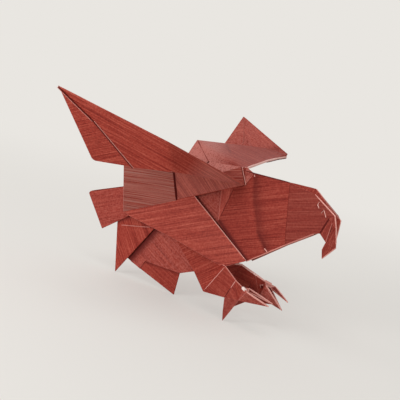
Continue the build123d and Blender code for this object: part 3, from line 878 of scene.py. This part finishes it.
def fold_wings(scene, sheet):
    """Both wings have the same leaves, but only the left one has a lip."""
    paper, wings = scene.eagle_paper, scene.eagle_wings
    sheet["thickness"] = paper.wing_leaf

    def pale_print_and_light(point):
        """The upper sheet is paler at its rear, on the left of the picture: paler, speckled print
        and painted light.
        """
        return 1.45 - 1.4 * rising(point.x * 0.866 + point.y * 0.5, -0.026, -0.008)

    def arm_painted_light(point):
        """Painted light under the wing, a little paler from the elbow to the root."""
        return 0.19 * rising(point.y, 0.06, 0.04)

    for side in (1, -1):
        sheet["side"] = side
        sheet["at"] = at = wing_places(scene.eagle_body, wings, side)
        hand, upper = (flat_of(picked(at, stops)) for stops in
                       ("tip trailing wrist", "root wrist upper_rear"))
        # the far hand lies in shade behind its pleat
        apex = [([over(wings, hand, share) for share in ((0.80, 0.72), (0.25, 0.74))],
                 4.0, 0.4)] if side > 0 else []
        # a soft line of painted shade across the upper sheet
        flap = [([over(wings, upper, share) for share in ((0.669, 0.503), (0.423, 0.292))],
                 0.9, 0.35)]
        # the upper faces of the wing's leaves take paler speckled print with painted light, and
        # painted shade
        leaf(sheet, "tip trailing pleat pleat_bow", grain=8, shift=0.5, pale=(0.4, 0),
             worn=(-0.12, 0), shades=apex, blunt=wings.corner_radius)
        leaf(sheet, "wrist tip pleat_bow pleat; wrist pleat elbow; root wrist elbow lower_edge",
             grain=-29, pale=(0.4, 0), worn=(-0.12, arm_painted_light), rounds=30, seen=True, shades=apex)
        leaf(sheet, "root wrist upper_edge upper_rear; root upper_rear pocket_top;"
                    "upper_rear pocket_rear pocket_top",
             grain=10, pale=(pale_print_and_light, 0), worn=(-0.15, 0), rounds=60, shades=flap)
        # painted light brightens the strip beside the pocket, on both its faces
        leaf(sheet, "root pocket_top pocket_root", grain=-57, seen=True, pale=(1.1, 0),
             worn=(0, 0.17))
        leaf(sheet, "pocket_top pocket_root covert_rear pocket_rear", grain=-9, greyed=1,
             shift=-0.5, thickness=paper.pocket_leaf)
        leaf(sheet, "root flap_top flap_rear", greyed=0.4, worn=-0.02, thickness=paper.leaf)
        # pale beads are wear and painted highlight; dark ones are painted shade: the shadow line
        # of the pleat, the slot beside the pocket, creases by the root and the gap in the flap's
        # double line
        for stops, *look in (
                ("root wrist tip", 0.05), ("tip pleat_bow pleat", -0.9, 1.1, (0, 0, -0.5)),
                ("tip pleat_bow", 0.7, 0.6, (-0.8, 0, -0.6)),
                ("pleat_bow pleat", 0.6, 0.6, (0.75, 0, -0.5)), ("root covert_rear", -0.2),
                ("upper_rear pocket_rear covert_rear", 0.1), ("upper_rear pocket_top", -0.5, 0.8),
                ("pocket_root pocket_top", -1.0, 2.0, (0.3, 0, 0)),
                ("root flap_top", 0.8, 0.6, (-0.3, 0.1, 0)),
                ("root flap_top", -0.9, 0.6, (0.3, 0.1, 0)),
                ("root flap_top", 0.8, 0.6, (0.9, 0.1, 0))):
            fold(sheet, stops, *look)
        if side > 0:
            leaf(sheet, "lip wrist", grain=10, bulge=0)
            # a painted highlight along the lip, with painted shade under it
            fold(sheet, "root lip", 1.25, 1.6)
            fold(sheet, "lip", -0.9, 0.9, (0.2, -0.4, -0.8))


def fold_legs(scene, sheet):
    """Both legs and feet."""
    # painted shade over the shank and foot, darker on the other face
    inside = (-0.28, -0.4)
    for side in (1, -1):
        sheet["side"] = side
        near = side < 0
        sheet["at"] = at = leg_places(scene.eagle_body, scene.eagle_legs, side)
        leaf(sheet, "thigh_rear thigh_front heel thigh_back; thigh_front knee heel", grain=25,
             rounds=4, seen=True, rim=0, worn=(-0.06, -0.4))
        leaf(sheet, "heel knee ankle_top ankle_low", grain=-37, worn=inside)
        # the foot's leaves take painted shade, darkest in the slots between the toes; the top of
        # the knuckle is pale by wear and painted highlight, and the outer side of the toes takes
        # painted light
        for stops, grain, pale, worn in (
                ("ankle_top ankle_low sole", -60, 0, inside),
                ("ankle_top sole knuckle", -60, 0, inside),
                ("knuckle sole inner_root", -25, 0, inside),
                ("toe_fork sole inner_tip", -25, 0, -0.4),
                ("toe_fork outer_root outer_tip", -25, 0, -0.45),
                ("knuckle toe_fork inner_root", -25, 0, 0.6),
                ("knuckle toe_fork outer_root", -25, 0, 0.6),
                ("knuckle sole outer_root", -25, 0.3, -0.1),
                ("toe_side outer_root outer_tip", -25, 0.3, -0.1),
                ("inner_root sole inner_tip", -25, (0, 0.4), 0)):
            leaf(sheet, stops, grain=grain, bulge=0, pale=pale, worn=worn)
        leaf(sheet, "ankle_low sole claw_tip claw_heel", grain=60, pale=0.25, worn=-0.36)
        # pale beads are wear and painted highlight on edges facing the light; dark ones are
        # painted shade
        fold(sheet, "heel knee", 0.85 if near else -0.3)
        ankle_middle = at["ankle_top"].lerp(at["ankle_low"], 0.45)
        fold(sheet, [at["ankle_top"], ankle_middle], 0.8 if near else -0.3, 1.0)
        fold(sheet, [ankle_middle, at["ankle_low"]], -0.85, 1.1)
        fold(sheet, "thigh_front knee ankle_top knuckle", *((0.5, 0.8) if near else (1.15, 1.3)))
        if not near:
            # a nick in the front of the shank, and a corner of ply curled up over the foot, drawn
            # in painted highlight with painted shade beside it
            fold(sheet, [at["ankle_top"].lerp(at["knee"], 0.1),
                         at["ankle_top"].lerp(at["knuckle"], 0.12)], 1.8, 1.9)
            bar = at["ankle_top"].lerp(at["sole"], 0.5)
            curl = [at["knuckle"].lerp(at["sole"], along).lerp(bar, back)
                    for along, back in ((0.25, 0), (0.25, 0.5), (0.5, 0.2))]
            fold(sheet, curl, 0.9, 0.8, (0, -0.5, 0.1))
            fold(sheet, curl[1:], -0.9, 0.9, (0.8, -0.35, 0.1))
        # the near-white glint on the knuckle is a painted highlight
        fold(sheet, [at["knuckle"], at["knuckle"].lerp(at["outer_root"], 0.6)],
             1.9 if near else 1.0, 2.8)
        for stops, worn, width in (
                ("inner_root toe_fork outer_root", 1.0, 0.9), ("toe_fork inner_tip", 0.8, 0.8),
                ("outer_root outer_tip", 1.0, 1.2), ("inner_root inner_tip", 1.0, 1.2)):
            fold(sheet, stops, worn, width)


# ---------------- the stage

LAMP_DISTANCE, FLOOR_HALF = 0.9, 3.0  # metres from the middle of the bird, and of the floor


def studio_board(tint):
    """Painted board that takes the bird's shadow.

    The camera sees it at its own pale colour, all of it far from the bird and half of it near
    by, so that board and backdrop run into each other.
    """
    paint = bpy.data.materials.new("matte_studio_board")
    tree = empty_tree(paint)
    rays = node(tree, "LightPath").outputs
    seen = node(tree, "Math", {0: rays["Is Camera Ray"], 1: rays["Is Glossy Ray"]},
                operation="MAXIMUM")
    far = node(tree, "VectorMath", {0: node(tree, "TexCoord").outputs["Object"]},
               operation="LENGTH")
    share = node(tree, "MapRange", {"Value": far.outputs["Value"], "From Min": 0.15,
                                    "From Max": 0.9, "To Min": 0.5},
                 interpolation_type="SMOOTHSTEP")
    node(tree, "OutputMaterial", {"Surface": node(tree, "MixShader", {
        0: node(tree, "Math", {0: seen, 1: share}, operation="MULTIPLY"),
        1: node(tree, "BsdfDiffuse", {"Color": tint}),
        2: node(tree, "Emission", {"Color": tint, "Strength": 1.0})})})
    return paint


def set_stage(scene):
    """The floor, the even light, the camera and four soft lamps."""
    stage = scene.eagle_stage
    tint = linear(stage.floor)
    mesh = bpy.data.meshes.new("floor")
    mesh.from_pydata([(x * FLOOR_HALF, y * FLOOR_HALF, 0) for x, y in
                      ((-1, -1), (1, -1), (1, 1), (-1, 1))], [], [(0, 1, 2, 3)])
    floor = bpy.data.objects.new("floor", mesh)
    scene.collection.objects.link(floor)
    mesh.materials.append(studio_board(tint))

    scene.world = bpy.data.worlds.new("studio")
    sky = empty_tree(scene.world)
    node(sky, "OutputWorld", {"Surface": node(sky, "MixShader", {
        0: node(sky, "LightPath").outputs["Is Camera Ray"],
        1: node(sky, "Background", {"Color": (1.0, 0.985, 0.97, 1),
                                    "Strength": stage.world_strength}),
        2: node(sky, "Background", {"Color": tint, "Strength": 1.0})})})

    stand = standing(scene)
    turn = stage.camera_side
    back = Vector((math.sin(turn), -math.cos(turn), 0))
    right = Vector((math.cos(turn), math.sin(turn), 0))
    up = Vector((0, 0, 1))
    camera = bpy.data.objects.new("camera", bpy.data.cameras.new("camera"))
    scene.collection.objects.link(camera)
    axes = Matrix((right, up, back)).transposed().to_4x4()
    place_at = Matrix.Translation(BIRD_MIDDLE + back * stage.camera_distance)
    camera.matrix_world = stand @ place_at @ axes
    camera.data.lens = camera.data.sensor_width * stage.camera_distance / stage.view_width
    camera.data.clip_start, camera.data.clip_end = 0.01, 20  # metres
    scene.camera = camera

    centre = stand @ BIRD_MIDDLE
    for name, power, size, aim in (
            ("key", 1, 0.3, back * 0.75 - right * 0.8 + up * 0.22),
            ("fill", 0.2, 0.8, back * 0.6 + right * 0.9 + up * 0.3),
            ("top", 0.6, 0.6, up - right * 0.35 + back * 0.25),
            ("rear", 0.5, 0.8, up * 0.35 - right * 0.2 - back)):
        lamp = bpy.data.objects.new(name, bpy.data.lights.new(name, "AREA"))
        scene.collection.objects.link(lamp)
        lamp.data.energy, lamp.data.size = stage.key_watts * power, size
        lamp.location = centre + aim.normalized() * LAMP_DISTANCE
        lamp.rotation_euler = (centre - lamp.location).to_track_quat("-Z", "Y").to_euler()
    scene.view_settings.view_transform = "Standard"


# ---------------- operators

class EagleHead(bpy.types.Operator):
    """Folds the head and the hooked beak"""
    bl_idname = "eagle.head"
    bl_label = "Fold head"

    def execute(self, context):
        return fold_piece(context.scene, "head", fold_head)


class EagleChest(bpy.types.Operator):
    """Folds the neck, the chest, the sides of the back and the flaps behind the wings"""
    bl_idname = "eagle.chest"
    bl_label = "Fold neck, chest and coverts"

    def execute(self, context):
        return fold_piece(context.scene, "neck_chest_and_coverts", fold_chest)


class EagleTail(bpy.types.Operator):
    """Folds the tail and belly leaves that hang from the back"""
    bl_idname = "eagle.tail"
    bl_label = "Fold tail and belly"

    def execute(self, context):
        return fold_piece(context.scene, "tail_and_belly", fold_tail)


class EagleWingPair(bpy.types.Operator):
    """Folds both wings: under sheet, pleated hand, upper sheet, pocket and front lip"""
    bl_idname = "eagle.wings"
    bl_label = "Fold wings"

    def execute(self, context):
        return fold_piece(context.scene, "wings", fold_wings)


class EagleLegPair(bpy.types.Operator):
    """Folds both legs with their toes and back claws"""
    bl_idname = "eagle.legs"
    bl_label = "Fold legs"

    def execute(self, context):
        return fold_piece(context.scene, "legs_and_feet", fold_legs)


class EagleStudio(bpy.types.Operator):
    """Sets up the floor, the four soft lamps and the camera"""
    bl_idname = "eagle.studio"
    bl_label = "Set up stage"

    def execute(self, context):
        set_stage(context.scene)
        return {"FINISHED"}


class EaglePanel(bpy.types.Panel):
    """Lists the operators and the sizes that they use"""
    bl_idname = "VIEW3D_PT_eagle"
    bl_label = "Origami eagle"
    bl_space_type = "VIEW_3D"
    bl_region_type = "UI"
    bl_category = "Eagle"

    def draw(self, context):
        for operator in OPERATORS:
            self.layout.operator(operator.bl_idname)
        for name, group in GROUPS.items():
            box = self.layout.box()
            box.label(text=group.__name__)
            for key in group.__annotations__:
                box.prop(getattr(context.scene, name), key)


OPERATORS = (EagleHead, EagleChest, EagleTail, EagleWingPair, EagleLegPair, EagleStudio)
GROUPS = {"eagle_paper": EaglePaper, "eagle_stance": EagleStance, "eagle_body": EagleBody,
          "eagle_wings": EagleWings, "eagle_legs": EagleLegs, "eagle_stage": EagleStage}


def register():
    for group in GROUPS.values():
        bpy.utils.register_class(group)
    for name, group in GROUPS.items():
        setattr(bpy.types.Scene, name, PointerProperty(type=group))
    for made in (*OPERATORS, EaglePanel):
        bpy.utils.register_class(made)


def unregister():
    for made in (EaglePanel, *reversed(OPERATORS)):
        bpy.utils.unregister_class(made)
    for name in GROUPS:
        delattr(bpy.types.Scene, name)
    for group in reversed(list(GROUPS.values())):
        bpy.utils.unregister_class(group)


def main():
    """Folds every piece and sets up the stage."""
    register()
    bpy.ops.eagle.head()
    bpy.ops.eagle.chest()
    bpy.ops.eagle.tail()
    bpy.ops.eagle.wings()
    bpy.ops.eagle.legs()
    bpy.ops.eagle.studio()
    bpy.context.view_layer.update()


if __name__ == "__main__":
    main()
